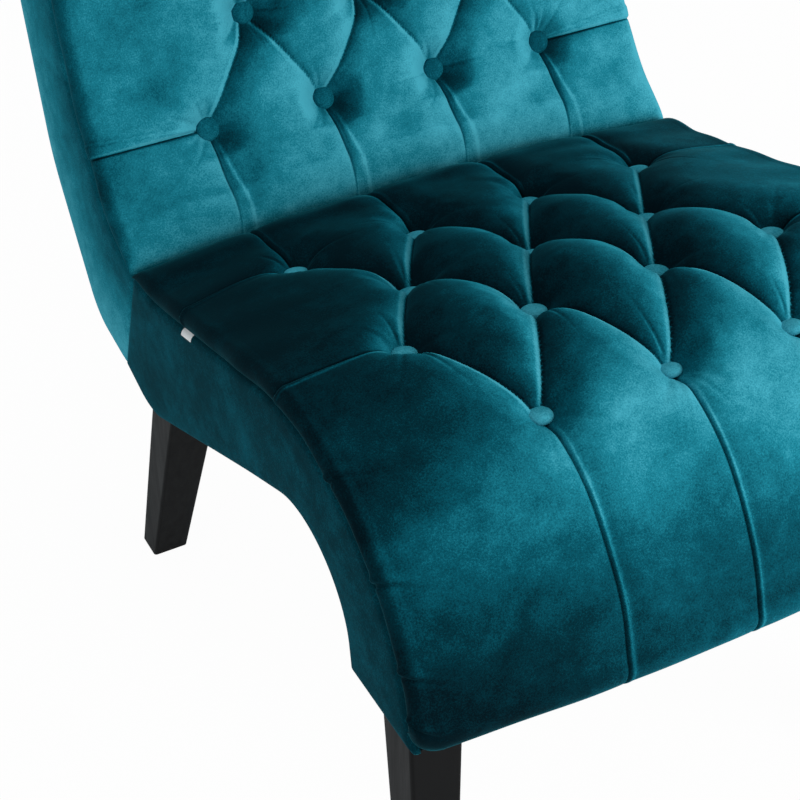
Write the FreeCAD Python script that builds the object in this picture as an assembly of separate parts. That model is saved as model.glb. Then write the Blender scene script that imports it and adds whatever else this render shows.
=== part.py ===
import FreeCAD
import Part
import math
import os
from collections import namedtuple

# An armless slipper chair whose tufted seat and tufted back follow one sweeping curve.
# Lengths are millimetres and angles are degrees. X runs across, -Y is the front, +Z is up.
# The origin lies on the floor, under the middle of the chair from front to back.
# Side views are drawn in Y and Z, with Y counted from the crease between seat and back.

# Overall
chair_width = 530.0
crease_setback = 97.7
crease_height = 373.0
arc_share_of_edge = 0.98

# Seat in the side view, from the crease forwards along the top and back along the underside
seat_level_run = 48.0
seat_level_bend = 150.0
seat_slope = 15.8
seat_slope_run = 385.0
seat_nose_bend = 174.0
seat_front_slope = 72.0
lip_height = 274.0
lip_depth = 95.0
lip_front_bend = 10.0
lip_rear_bend = 4.0
riser_slope = 81.6
arch_height = 397.0
arch_bend = 77.0
belly_setback = -10.0
belly_height = 234.0
belly_bend = 60.0
heel_setback = 45.0
heel_height = 252.0
heel_bend = 3.0

# Back in the side view, from the crease up the front, over the top and down the rear
back_foot_slope = 12.0
back_foot_run = 48.0
back_foot_bend = 110.0
back_hollow_slope = 58.0
back_hollow_run = 124.0
back_hollow_bend = 330.0
back_lean = 76.0
back_top_height = 812.0
back_top_bend = 60.0
back_top_fall = 8.0
back_thickness = 98.0
back_edge_bend = 30.0
rear_bend_height = 385.0
rear_bend = 150.0
rear_tuck_slope = 57.0
rear_tuck_height = 262.0
rear_tuck_bend = 50.0

# Tufted pads
crown_height = 42.0
pad_edge_height = 17.0
pad_edge_round = 15.0
pad_edge_kink_in = 3.75
pad_edge_kink_share = 0.65
pad_swell_length = 60.0
pad_end_share = 0.2
pad_end_steps = 5
pad_roll_steps = 9
pad_crease_gap = 2.5
pad_tail = 12.0
button_spacing = 108.4
row_spacing = 92.0
first_row = 111.0
row_counts = (4, 3, 4, 3)
button_seat_height = 10.0
pleat_rise_share = 0.42
pleat_edge_height = 5.0
pleat_half_width = 44.0
pleat_shoulder = 0.38
pleat_shoulder_rise = 0.68
pleat_turn_step = 10.0
brim_clearance = 1.0
cutter_headroom = 10.0
dimple_mouth_radius = 34.0

# Buttons and the twine that ties them down
button_radius = 11.0
button_clearance = 0.5
button_rim = 2.0
button_dome = 6.0
button_dome_rings = (0.85, 0.55, 0.2)
button_corners = 16
twine_radius = 1.0
cord_corners = 8
twine_clearance = 0.3
twine_hole_overrun = 20.0
toggle_length = 32.0
toggle_width = 8.0
toggle_thickness = 4.0

# Layers under the pads
seam_gap = 0.3
cover_thickness = 8.0
rear_cover_thickness = 6.0
dust_cover_thickness = 1.5
foam_thickness = 36.0
front_foam_thickness = 16.0
foam_cut_overrun = 24.5
strap_thickness = 2.0
strap_width = 40.0
cross_strap_width = 36.0
strap_start = 36.0
strap_overhang = 15.0

# Timber
side_frame_thickness = 18.0
frame_edge_gap = 5.0
frame_rear_gap = 12.0
joint_face_gap = 6.0
rail_thickness = 22.0
joint_rail_drop = 48.0
joint_rail_height = 36.0
crest_rail_along = 430.0
crest_rail_width = 34.0
crest_rail_depth = 26.0
crest_rail_clearance = 1.5
back_rail_along = 250.0
back_rail_width = 40.0
top_rail_along = 63.0
top_rail_width = 30.0
top_rail_depth = 60.0
heel_rail_rise = 22.0
heel_rail_width = 24.0
front_panel_thickness = 4.0
front_panel_start = 472.0
leg_rail_height = 30.0
rear_leg_rail_front = -38.0
rear_leg_rail_back = 15.0
rear_leg_seat_height = 250.0

# Legs and glides
leg_side_inset = 12.0
leg_top_width = 44.0
leg_foot_width = 34.0
leg_top_depth = 44.0
leg_foot_depth = 30.0
leg_corner = 3.0
front_leg_top_setback = -438.0
front_leg_foot_setback = -463.0
rear_leg_top_setback = -13.0
rear_leg_foot_setback = 73.0
leg_hole_clearance = 1.0
glide_radius = 9.0
glide_thickness = 3.0
glide_pin_radius = 1.5
glide_pin_length = 12.0

# Fasteners
leg_bolt_radius = 4.0
leg_bolt_in_leg = 36.0
bolt_edge_distance = 15.0
bolt_clearance = 0.3
thread_clearance = 0.1
bolt_end_gap = 1.0
tee_nut_flange_radius = 11.0
tee_nut_flange = 1.5
tee_nut_barrel_radius = 5.5
tee_nut_barrel = 9.0
joint_bolt_radius = 4.0
joint_bolt_spots = (-180.0, -60.0, 60.0, 180.0)
bolt_head_radius = 7.5
bolt_head_height = 5.5
washer_radius = 9.0
washer_thickness = 1.6
washer_corners = 16
nut_height = 6.5
bolt_tail = 4.0

# Blank woven tab sewn into the left seam of the seat
tab_along = 117.0
tab_width = 15.0
tab_drop = 11.0
tab_seam_drop = 1.0
tab_thickness = 0.8

x_axis = FreeCAD.Vector(1, 0, 0)
z_axis = FreeCAD.Vector(0, 0, 1)
half_width = chair_width / 2
cover_inside = half_width - cover_thickness
bay_half_width = cover_inside - side_frame_thickness
strap_depth = foam_thickness + 2 * strap_thickness

Run = namedtuple("Run", "y z heading length bend")


def step(corner, slope, length, radius=0.0):
    """The corner that lies a length away along a slope, counted up from +Y."""
    angle = math.radians(slope)
    return (corner[0] + length * math.cos(angle), corner[1] + length * math.sin(angle), radius)


def step_to_height(corner, slope, height, radius=0.0):
    """The corner reached along a slope at a given height."""
    length = (height - corner[1]) / math.sin(math.radians(slope))
    return step(corner, slope, length, radius)


def heading_of(a, b):
    return math.atan2(b[1] - a[1], b[0] - a[0])


def turn_between(before, after):
    return (after - before + math.pi) % (2 * math.pi) - math.pi


def outline_runs(corners, closed):
    """Splits an outline into straight runs and the tangent arcs that round its corners."""
    count = len(corners)
    edge_count = count if closed else count - 1
    following = [corners[(i + 1) % count] for i in range(edge_count)]
    headings = [heading_of(corners[i], following[i]) for i in range(edge_count)]
    lengths = [math.dist(corners[i][:2], following[i][:2]) for i in range(edge_count)]
    turns = [0.0] * count
    reaches = [0.0] * count
    for i in range(count):
        if closed or 0 < i < count - 1:
            turns[i] = turn_between(headings[i - 1], headings[i])
            reaches[i] = corners[i][2] * math.tan(abs(turns[i]) / 2)
    # Where the two arcs of an edge would use it up, both are tightened to fit on it.
    for i in range(edge_count):
        beyond = (i + 1) % count
        wanted = reaches[i] + reaches[beyond]
        most = arc_share_of_edge * lengths[i]
        if wanted > most:
            reaches[i] *= most / wanted
            reaches[beyond] *= most / wanted
    runs = []
    for i in range(edge_count):
        beyond = (i + 1) % count
        cosine = math.cos(headings[i])
        sine = math.sin(headings[i])
        y = corners[i][0] + reaches[i] * cosine
        z = corners[i][1] + reaches[i] * sine
        length = lengths[i] - reaches[i] - reaches[beyond]
        runs.append(Run(y, z, headings[i], length, 0.0))
        if reaches[beyond] > 0:
            radius = reaches[beyond] / math.tan(abs(turns[beyond]) / 2)
            bend = math.copysign(1 / radius, turns[beyond])
            arc_length = abs(turns[beyond]) * radius
            runs.append(Run(y + length * cosine, z + length * sine, headings[i], arc_length, bend))
    return runs


def run_place(run, along):
    """Y, Z and heading at a distance along one run."""
    if run.bend == 0.0:
        y = run.y + along * math.cos(run.heading)
        z = run.z + along * math.sin(run.heading)
        return y, z, run.heading
    heading = run.heading + run.bend * along
    y = run.y + (math.sin(heading) - math.sin(run.heading)) / run.bend
    z = run.z - (math.cos(heading) - math.cos(run.heading)) / run.bend
    return y, z, heading


class Track:
    """A side-view line measured from its start, with an outer side that pads stand on."""

    def __init__(self, corners, outward):
        self.outward = outward
        self.runs = outline_runs(corners, False)
        self.length = sum(run.length for run in self.runs)

    def place(self, along):
        for run in self.runs[:-1]:
            if along <= run.length:
                return run_place(run, along)
            along -= run.length
        return run_place(self.runs[-1], along)

    def point(self, along, across=0.0, height=0.0):
        y, z, heading = self.place(along)
        y -= self.outward * height * math.sin(heading)
        z += self.outward * height * math.cos(heading)
        return FreeCAD.Vector(across, y, z)

    def tangent(self, along):
        heading = self.place(along)[2]
        return FreeCAD.Vector(0, math.cos(heading), math.sin(heading))

    def normal(self, along):
        return self.point(along, 0.0, 1.0) - self.point(along)

    def before_corner(self, number):
        """Where the arc that rounds a corner starts. Straight runs and arcs alternate."""
        return sum(run.length for run in self.runs[:2 * number - 1])

    def after_corner(self, number):
        """Where the arc that rounds a corner ends."""
        return sum(run.length for run in self.runs[:2 * number])


def moved_in(corners, outward, depths):
    """A closed outline with each edge moved inwards by its own depth."""
    count = len(corners)
    moved = []
    for i in range(count):
        before = heading_of(corners[i - 1], corners[i])
        after = heading_of(corners[i], corners[(i + 1) % count])
        depth_before = -outward * depths[i - 1]
        depth_after = -outward * depths[i]
        # The moved corner is where the two moved edges cross.
        cross = math.sin(turn_between(before, after))
        slide = (depth_after - depth_before * math.cos(turn_between(before, after))) / cross
        y = corners[i][0] - depth_before * math.sin(before) - slide * math.cos(before)
        z = corners[i][1] + depth_before * math.cos(before) - slide * math.sin(before)
        bulges_out = turn_between(before, after) * outward < 0
        change = max(depths[i - 1], depths[i])
        radius = corners[i][2] - change if bulges_out else corners[i][2] + change
        if corners[i][2] == 0.0:
            radius = 0.0
        moved.append((y, z, max(radius, 0.0)))
    return moved


def plate(corners, from_x, to_x):
    """A flat piece with a side-view outline, from one X to another."""
    edges = []
    for run in outline_runs(corners, True):
        if run.length < 0.001:
            continue
        spots = []
        for share in (0.0, 0.5, 1.0):
            y, z, heading = run_place(run, share * run.length)
            spots.append(FreeCAD.Vector(from_x, y, z))
        if run.bend == 0.0:
            edges.append(Part.LineSegment(spots[0], spots[2]).toShape())
        else:
            edges.append(Part.Arc(*spots).toShape())
    face = Part.Face(Part.Wire(edges))
    return face.extrude(x_axis * (to_x - from_x))


def joined(solids):
    whole = solids[0]
    if len(solids) > 1:
        whole = whole.fuse(solids[1:]).removeSplitter()
    return whole


def sweep(track, start, end, section):
    """Carries a section along straight runs and turns it about the centres of the arcs."""
    solids = []
    passed = 0.0
    for run in track.runs:
        first = max(start, passed)
        last = min(end, passed + run.length)
        if last - first > 0.01:
            face = Part.Face(section(track, first))
            if run.bend == 0.0:
                solids.append(face.extrude(track.tangent(first) * (last - first)))
            else:
                y = run.y - math.sin(run.heading) / run.bend
                z = run.z + math.cos(run.heading) / run.bend
                angle = math.degrees(run.bend * (last - first))
                solids.append(face.revolve(FreeCAD.Vector(0, y, z), x_axis, angle))
        passed += run.length
    return joined(solids)


def strip_section(from_x, to_x, low, high):
    """A rectangular section between two X and two heights above a track."""
    def section(track, along):
        spots = [
            track.point(along, from_x, low),
            track.point(along, to_x, low),
            track.point(along, to_x, high),
            track.point(along, from_x, high),
        ]
        return Part.makePolygon(spots + spots[:1])
    return section


def board(track, along, width, top, depth, from_x, to_x):
    """A straight board lying under a track, square to it at one place."""
    tangent = track.tangent(along)
    corner = track.point(along, from_x, top) - tangent * (width / 2)
    down = track.normal(along) * -depth
    spots = [corner, corner + tangent * width, corner + tangent * width + down, corner + down]
    return Part.Face(Part.makePolygon(spots + spots[:1])).extrude(x_axis * (to_x - from_x))


def stood(shape, track, along, across, height):
    """A piece drawn standing on the origin, set on a track with its foot at a height."""
    normal = track.normal(along)
    placed = shape.copy()
    placed.rotate(FreeCAD.Vector(), x_axis, math.degrees(math.atan2(-normal.y, normal.z)))
    placed.translate(track.point(along, across, height))
    return placed


def mirrored(shape):
    return shape.mirror(FreeCAD.Vector(), x_axis)


# Seat outline, counter-clockwise when +Y points right
crease = (0.0, crease_height, 0.0)
seat_bend_corner = (-seat_level_run, crease_height, seat_level_bend)
seat_nose_corner = step(seat_bend_corner, 180.0 - seat_slope, seat_slope_run, seat_nose_bend)
lip_front = step_to_height(seat_nose_corner, 180.0 + seat_front_slope, lip_height, lip_front_bend)
lip_rear = (lip_front[0] + lip_depth, lip_height, lip_rear_bend)
arch_corner = step_to_height(lip_rear, riser_slope, arch_height, arch_bend)
belly_corner = (belly_setback, belly_height, belly_bend)
heel = (heel_setback, heel_height, heel_bend)
seat_outline = [
    crease,
    seat_bend_corner,
    seat_nose_corner,
    lip_front,
    lip_rear,
    arch_corner,
    belly_corner,
    heel,
]

# Back outline, clockwise when +Y points right
back_foot_corner = step(crease, back_foot_slope, back_foot_run, back_foot_bend)
back_hollow_corner = step(back_foot_corner, back_hollow_slope, back_hollow_run, back_hollow_bend)
back_top_front = step_to_height(back_hollow_corner, back_lean, back_top_height, back_top_bend)
top_run = back_thickness / math.sin(math.radians(back_lean + back_top_fall))
back_top_rear = step(back_top_front, -back_top_fall, top_run, back_edge_bend)
rear_corner = step_to_height(back_top_rear, back_lean, rear_bend_height, rear_bend)
rear_tuck_corner = step_to_height(rear_corner, rear_tuck_slope, rear_tuck_height, rear_tuck_bend)
back_outline = [
    crease,
    back_foot_corner,
    back_hollow_corner,
    back_top_front,
    back_top_rear,
    rear_corner,
    rear_tuck_corner,
    heel,
]

left_of_travel = 1
right_of_travel = -1
lip_edge = (lip_front[0], lip_front[1] + seam_gap, 0.0)
seat_track = Track([crease, seat_bend_corner, seat_nose_corner, lip_edge], right_of_travel)
back_track = Track(back_outline[:5] + [(rear_corner[0], rear_corner[1], 0.0)], left_of_travel)
top_track = Track([back_top_front, back_top_rear], left_of_travel)
rear_track = Track(back_outline[4:], left_of_travel)
under_track = Track(
    [(lip_front[0] + lip_front_bend, lip_height, 0.0)] + seat_outline[4:], right_of_travel
)
seat_joint_track = Track([crease, heel], left_of_travel)
back_joint_track = Track([crease, heel], right_of_travel)

back_pad_end = back_track.after_corner(4) + pad_tail


def many_sided(corners, rings):
    """A turned piece with few faces, drawn through rings of (radius, height)."""
    polygons = []
    for radius, height in rings:
        spots = []
        for corner in range(corners + 1):
            angle = 2 * math.pi * corner / corners
            spots.append(
                FreeCAD.Vector(radius * math.cos(angle), radius * math.sin(angle), height)
            )
        polygons.append(Part.makePolygon(spots))
    return Part.makeLoft(polygons, True, True)


def pad_section(track, along, share=1.0):
    """The arched section of a pad: rounded edges, a crown across and a flat base."""
    inner = half_width - pad_edge_round
    edge = pad_edge_height * share

    def side(sign):
        return Part.Arc(
            track.point(along, sign * half_width, 0.0),
            track.point(along, sign * (half_width - pad_edge_kink_in), pad_edge_kink_share * edge),
            track.point(along, sign * inner, edge),
        ).toShape()

    top = Part.Arc(
        track.point(along, -inner, edge),
        track.point(along, 0.0, crown_height * share),
        track.point(along, inner, edge),
    ).toShape()
    base = Part.LineSegment(track.point(along, -half_width), track.point(along, half_width))
    return Part.Wire([side(-1), top, side(1), base.toShape()])


def swelling(track, seam, full, steps):
    """The end of a pad, which swells in a quarter round from its seam to its full height."""
    sections = []
    for i in range(steps + 1):
        part = i / steps
        share = math.sqrt(1 - (1 - part) ** 2 * (1 - pad_end_share ** 2))
        sections.append(pad_section(track, seam + (full - seam) * part, share))
    return Part.makeLoft(sections, True, False)


def button_places():
    """Where the buttons sit, as rows of (along, across), staggered from row to row."""
    rows = []
    for number, count in enumerate(row_counts):
        along = first_row + number * row_spacing
        rows.append([(along, (i - (count - 1) / 2) * button_spacing) for i in range(count)])
    return rows


def pleat_places(end):
    """The pleats as pairs of places with their two end heights, from button to button or seam."""
    rows = button_places()
    pleats = []
    for near, far in zip(rows[:-1], rows[1:]):
        for start in near:
            for finish in far:
                if abs(start[1] - finish[1]) < button_spacing:
                    pleats.append((start, finish, button_seat_height))
    for along, across in rows[0]:
        pleats.append(((along, across), (0.0, across), pleat_edge_height))
    for along, across in rows[-1]:
        pleats.append(((along, across), (end, across), pleat_edge_height))
    for row, count in zip(rows, row_counts):
        if count == max(row_counts):
            for sign in (-1, 1):
                place = row[-1] if sign > 0 else row[0]
                edge = (place[0], sign * (half_width + pad_edge_round))
                pleats.append((place, edge, pleat_edge_height))
    return pleats


def crown_at(across):
    """Height of an untufted pad above its base, which falls off towards the side seams."""
    share = min(abs(across) / (half_width - pad_edge_round), 1.0)
    return pad_edge_height + (crown_height - pad_edge_height) * (1 - share ** 2)


def pleat_cutter(track, start, finish, end_height):
    """A wide V with rounded shoulders along a pleat, so that the cloth between swells up."""
    length = math.dist(start, finish)
    slope_along = (finish[0] - start[0]) / length
    slope_across = (finish[1] - start[1]) / length
    turned = abs(turn_between(track.place(start[0])[2], track.place(finish[0])[2]))
    steps = max(2, math.ceil(math.degrees(turned) / pleat_turn_step))
    middle_crown = crown_at((start[1] + finish[1]) / 2)
    middle = button_seat_height + pleat_rise_share * (middle_crown - button_seat_height)
    bulge = middle - (button_seat_height + end_height) / 2
    sections = []
    for i in range(steps + 1):
        part = i / steps
        along = start[0] + part * length * slope_along
        across = start[1] + part * length * slope_across
        floor = button_seat_height + part * (end_height - button_seat_height)
        floor += 4 * bulge * part * (1 - part)
        brim = max(crown_at(across), floor) + brim_clearance
        sideways = track.tangent(along) * -slope_across + x_axis * slope_along
        profile = (
            (pleat_shoulder * pleat_half_width, floor + pleat_shoulder_rise * (brim - floor)),
            (pleat_half_width, brim),
            (pleat_half_width, crown_height + cutter_headroom),
        )
        spots = [track.point(along, across, floor)]
        for reach, height in profile:
            spots.append(track.point(along, across, height) + sideways * reach)
        for reach, height in reversed(profile):
            spots.append(track.point(along, across, height) - sideways * reach)
        sections.append(Part.makePolygon(spots + spots[:1]))
    return Part.makeLoft(sections, True, True)


def tufted_pad(track, end, swell_end, end_steps):
    """A crowned pad with its sewn diamonds: pleats from button to button and out to the seams."""
    pad = joined([
        swelling(track, pad_crease_gap, pad_swell_length, pad_end_steps),
        sweep(track, pad_swell_length, swell_end, pad_section),
        swelling(track, end, swell_end, end_steps),
    ])
    for start, finish, end_height in pleat_places(end):
        pad = pad.cut(pleat_cutter(track, start, finish, end_height))
    roof = crown_height + cutter_headroom
    depth = roof - button_seat_height
    dimple = Part.makeCone(button_radius + button_clearance, dimple_mouth_radius, depth)
    for row in button_places():
        for along, across in row:
            pad = pad.cut(stood(dimple, track, along, across, button_seat_height))
    return drilled(pad, track)


def drilled(solid, track):
    """Opens the small holes that the button twine passes through."""
    foot = -foam_thickness - twine_hole_overrun
    radius = twine_radius + twine_clearance
    hole_length = button_seat_height + twine_hole_overrun - foot
    hole = many_sided(cord_corners, ((radius, 0), (radius, hole_length)))
    for row in button_places():
        for along, across in row:
            solid = solid.cut(stood(hole, track, along, across, foot))
    return solid


def each_button(track, shape, height):
    """One group of separate solids with a copy of the shape under every button."""
    copies = []
    for row in button_places():
        for along, across in row:
            copies.append(stood(shape, track, along, across, height))
    return Part.makeCompound(copies)


def button_solid():
    """A covered button: a flat foot, a short rim and a face that rises in rings to its dome."""
    rings = [(button_radius, 0), (button_radius, button_rim)]
    for share in button_dome_rings:
        rise = (button_dome - button_rim) * math.sqrt(1 - share ** 2)
        rings.append((share * button_radius, button_rim + rise))
    return many_sided(button_corners, rings)


def webbing(track, cross_count, end):
    """Straps across the side frames, with long straps laid over them between the button columns."""
    low = -strap_depth
    straps = []
    for number in range(cross_count):
        middle = first_row + (number - 0.5) * row_spacing
        section = strip_section(-cover_inside, cover_inside, low, low + strap_thickness)
        first = middle - cross_strap_width / 2
        straps.append(sweep(track, first, first + cross_strap_width, section))
    for number in range(max(row_counts)):
        middle = (number + 0.5) * button_spacing / 2
        for sign in (-1, 1):
            left = sign * middle - strap_width / 2
            section = strip_section(
                left, left + strap_width, low + strap_thickness, low + 2 * strap_thickness
            )
            straps.append(sweep(track, strap_start, end, section))
    return Part.makeCompound(straps)


def foam(outline, outward, outer_depths, inner_depths, track):
    """A foam layer between two outlines, drilled for the button twine."""
    outer = plate(moved_in(outline, outward, outer_depths), -cover_inside, cover_inside)
    inner = plate(moved_in(outline, outward, inner_depths), -half_width, half_width)
    return drilled(outer.cut(inner), track)


def rounded_rectangle(centre_x, centre_y, height, width, depth):
    """A level rectangle with rounded corners, as a wire."""
    x = width / 2
    y = depth / 2
    r = leg_corner
    kink = r * (1 - math.sqrt(0.5))
    edges = []
    for turn in range(4):
        signs = ((1, 1), (-1, 1), (-1, -1), (1, -1))[turn]
        following = ((-1, 1), (-1, -1), (1, -1), (1, 1))[turn]
        along_x = turn % 2 == 0
        on_side = (signs[0] * x, signs[1] * (y - r))
        on_end = (signs[0] * (x - r), signs[1] * y)
        middle = (signs[0] * (x - kink), signs[1] * (y - kink))
        if along_x:
            start, end = on_side, on_end
            after = (following[0] * (x - r), following[1] * y)
        else:
            start, end = on_end, on_side
            after = (following[0] * x, following[1] * (y - r))
        spots = [FreeCAD.Vector(centre_x + s[0], centre_y + s[1], height)
                 for s in (start, middle, end, after)]
        edges.append(Part.Arc(*spots[:3]).toShape())
        edges.append(Part.LineSegment(spots[2], spots[3]).toShape())
    return Part.Wire(edges)


def leg_solid(top_setback, foot_setback, top_height, grow=0.0):
    """A tapered leg on the right side, from its flat top down to its glide."""
    outer = half_width - leg_side_inset
    top = rounded_rectangle(
        outer - leg_top_width / 2, top_setback, top_height,
        leg_top_width + grow, leg_top_depth + grow
    )
    foot = rounded_rectangle(
        outer - leg_foot_width / 2, foot_setback, glide_thickness,
        leg_foot_width + grow, leg_foot_depth + grow
    )
    return Part.makeLoft([foot, top], True, True)


def upright(radius, x, y, low, high):
    return Part.makeCylinder(radius, high - low, FreeCAD.Vector(x, y, low))


def box_between(from_x, to_x, from_y, to_y, from_z, to_z):
    corner = FreeCAD.Vector(from_x, from_y, from_z)
    return Part.makeBox(to_x - from_x, to_y - from_y, to_z - from_z, corner)


nodes = {}

# Side covers: cloth over wadding on the outer faces of the seat and the back.
seat_cover_depths = [seam_gap, seam_gap, seam_gap, 0, 0, 0, 0, seam_gap]
back_cover_depths = [seam_gap, seam_gap, seam_gap, seam_gap, 0, 0, 0, seam_gap]
seat_side_cover = plate(
    moved_in(seat_outline, right_of_travel, seat_cover_depths), cover_inside, half_width
)
back_side_cover = plate(
    moved_in(back_outline, left_of_travel, back_cover_depths), cover_inside, half_width
)
nodes["seat_side_cover_right"] = seat_side_cover
nodes["seat_side_cover_left"] = mirrored(seat_side_cover)
nodes["back_side_cover_right"] = back_side_cover
nodes["back_side_cover_left"] = mirrored(back_side_cover)

# Side frames: plywood cut to the chair's curve, set back for foam, webbing and cloth.
frame_front_depth = front_foam_thickness + strap_thickness
seat_frame_depths = [
    strap_depth, strap_depth, frame_front_depth,
    frame_edge_gap, frame_edge_gap, frame_edge_gap, frame_edge_gap, joint_face_gap,
]
back_frame_depths = [
    strap_depth, strap_depth, strap_depth, strap_depth,
    frame_rear_gap, frame_rear_gap, frame_rear_gap, joint_face_gap,
]
seat_side_frame = plate(
    moved_in(seat_outline, right_of_travel, seat_frame_depths), bay_half_width, cover_inside
)
leg_notch = leg_solid(
    rear_leg_top_setback, rear_leg_foot_setback, rear_leg_seat_height, 2 * leg_hole_clearance
)
seat_side_frame = seat_side_frame.cut(leg_notch)
back_side_frame = plate(
    moved_in(back_outline, left_of_travel, back_frame_depths), bay_half_width, cover_inside
)
nodes["seat_side_frame_right"] = seat_side_frame
nodes["seat_side_frame_left"] = mirrored(seat_side_frame)
nodes["back_side_frame_right"] = back_side_frame
nodes["back_side_frame_left"] = mirrored(back_side_frame)

# Rails between the side frames.
rail_span = (-bay_half_width, bay_half_width)
rail_top = -strap_depth
joint_middle = joint_rail_drop + joint_rail_height / 2
crest_rail_top = rail_top - crest_rail_clearance
nodes["seat_crest_rail"] = board(
    seat_track, crest_rail_along, crest_rail_width, crest_rail_top, crest_rail_depth, *rail_span
)
nodes["back_middle_rail"] = board(
    back_track, back_rail_along, back_rail_width, rail_top - strap_thickness, rail_thickness,
    *rail_span
)
nodes["back_top_rail"] = board(
    top_track, top_rail_along, top_rail_width, rail_top, top_rail_depth, *rail_span
)
nodes["back_bottom_rail"] = board(
    rear_track, rear_track.length - heel_rail_rise, heel_rail_width,
    -frame_rear_gap, rail_thickness, *rail_span
)

# Two rails meet through the crease and carry the bolts that hold the back on the seat.
seat_rear_rail = board(
    seat_joint_track, joint_middle, joint_rail_height, -joint_face_gap, rail_thickness, *rail_span
)
back_lower_rail = board(
    back_joint_track, joint_middle, joint_rail_height, -joint_face_gap, rail_thickness, *rail_span
)
bolt_grip = 2 * (joint_face_gap + rail_thickness)
bolt_from = -bolt_grip / 2 - washer_thickness
bolt_length = bolt_grip + 2 * washer_thickness + nut_height + bolt_tail
bolt_hole = Part.makeCylinder(joint_bolt_radius + bolt_clearance, bolt_length)
washer = many_sided(washer_corners, ((washer_radius, 0), (washer_radius, washer_thickness)))
washer = washer.cut(bolt_hole)
bolt = many_sided(6, ((bolt_head_radius, 0), (bolt_head_radius, bolt_head_height)))
bolt.translate(z_axis * -bolt_head_height)
bolt = bolt.fuse(Part.makeCylinder(joint_bolt_radius, bolt_length))
nut_hole = Part.makeCylinder(joint_bolt_radius + thread_clearance, nut_height)
nut = many_sided(6, ((bolt_head_radius, 0), (bolt_head_radius, nut_height))).cut(nut_hole)
bolts = []
washers = []
nuts = []
for spot in joint_bolt_spots:
    # Heights here count from the joint's face towards the back, along the bolt.
    seat_rear_rail = seat_rear_rail.cut(
        stood(bolt_hole, back_joint_track, joint_middle, spot, bolt_from)
    )
    back_lower_rail = back_lower_rail.cut(
        stood(bolt_hole, back_joint_track, joint_middle, spot, bolt_from)
    )
    bolts.append(stood(bolt, back_joint_track, joint_middle, spot, bolt_from))
    for height in (bolt_from, bolt_grip / 2):
        washers.append(stood(washer, back_joint_track, joint_middle, spot, height))
    nut_from = bolt_grip / 2 + washer_thickness
    nuts.append(stood(nut, back_joint_track, joint_middle, spot, nut_from))
nodes["seat_rear_rail"] = seat_rear_rail
nodes["back_lower_rail"] = back_lower_rail
nodes["joint_bolts"] = Part.makeCompound(bolts)
nodes["joint_washers"] = Part.makeCompound(washers)
nodes["joint_nuts"] = Part.makeCompound(nuts)

# A bent plywood panel closes the front of the frame behind its thin foam.
front_tilt = math.radians(seat_front_slope)
panel_back_depth = frame_front_depth + front_panel_thickness
panel_end_gap = (frame_edge_gap + panel_back_depth * math.cos(front_tilt)) / math.sin(front_tilt)
nodes["seat_front_panel"] = sweep(
    seat_track, front_panel_start, seat_track.length - panel_end_gap - bolt_clearance,
    strip_section(*rail_span, -panel_back_depth, -frame_front_depth)
)

# Legs, the rails that they bolt to, their bolts, tee nuts and glides.
front_leg_seat_height = lip_height + frame_edge_gap
front_rail_height = frame_edge_gap + leg_rail_height
front_rail_front = lip_front[0] + front_rail_height / math.tan(front_tilt)
front_rail_front += (panel_back_depth + bolt_clearance) / math.sin(front_tilt)
front_rail_back = lip_rear[0] - frame_edge_gap
front_leg_rail = box_between(
    *rail_span, front_rail_front, front_rail_back,
    front_leg_seat_height, front_leg_seat_height + leg_rail_height
)
rear_leg_rail = box_between(
    *rail_span, rear_leg_rail_front, rear_leg_rail_back,
    rear_leg_seat_height, rear_leg_seat_height + leg_rail_height
)
leg_bolt_x = bay_half_width - bolt_edge_distance
front_bolt_y = front_rail_front + bolt_edge_distance
rear_bolt_y = rear_leg_top_setback
front_leg = leg_solid(front_leg_top_setback, front_leg_foot_setback, front_leg_seat_height)
rear_leg = leg_solid(rear_leg_top_setback, rear_leg_foot_setback, rear_leg_seat_height)
foot_x = half_width - leg_side_inset - leg_foot_width / 2
leg_bolts = []
tee_nuts = []
glides = []
leg_sets = (
    ("front", front_leg, front_bolt_y, front_leg_seat_height, front_leg_foot_setback),
    ("rear", rear_leg, rear_bolt_y, rear_leg_seat_height, rear_leg_foot_setback),
)
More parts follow.
